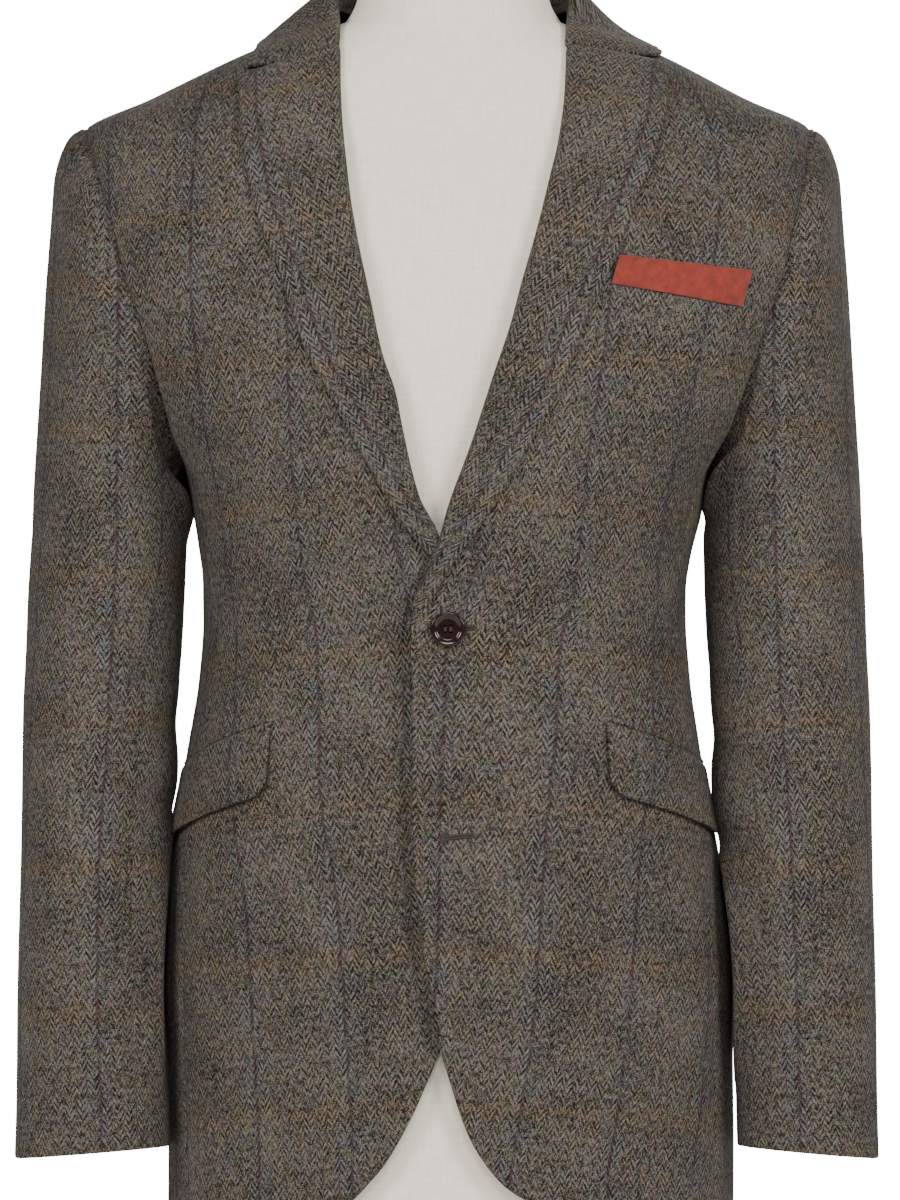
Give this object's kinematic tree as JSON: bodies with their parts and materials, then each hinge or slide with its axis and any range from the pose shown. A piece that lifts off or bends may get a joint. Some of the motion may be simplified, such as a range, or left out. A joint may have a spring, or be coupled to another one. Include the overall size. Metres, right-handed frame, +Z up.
{
  "type": "tweed hacking jacket on a limbless dress form",
  "caption": "Tweed hacking jacket buttoned on a limbless linen-covered dress form with a low round stand; notched lapels, slanted pocket flaps and a contrast breast welt.",
  "frame": {"origin": "centre of the round base's underside, on the floor", "axes": "+Z up, the jacket's front faces -Y, the wearer's left is +X"},
  "size_m": [0.5533, 0.33, 1.0153],
  "materials": {
    "tweed": "grey-brown herringbone wool tweed with maroon and ochre windowpane lines",
    "tweed_turned": "the same tweed, turned to another way",
    "red_wool": "brick-red wool twill",
    "dark_horn": "polished dark burgundy-brown horn",
    "linen": "cream linen, plain weave, drawn tight",
    "beech": "turned beech, satin lacquer",
    "brushed_steel": "brushed steel tube"
  },
  "bodies": {
    "root": {"front_left": "tweed", "front_right": "tweed", "side_left": "tweed", "side_right": "tweed", "back_left": "tweed", "back_right": "tweed", "top_sleeve_left": "tweed", "top_sleeve_right": "tweed", "lapel_left": "tweed_turned", "lapel_right": "tweed_turned", "collar": "tweed_turned", "under_sleeve_left": "tweed_turned", "under_sleeve_right": "tweed_turned", "flap_left": "tweed_turned", "flap_right": "tweed_turned", "breast_welt": "red_wool", "button": "dark_horn", "dress_form": "linen", "neck_cap": "beech", "stand_base": "beech", "stand_pole": "brushed_steel"}
  },
  "joints": []
}
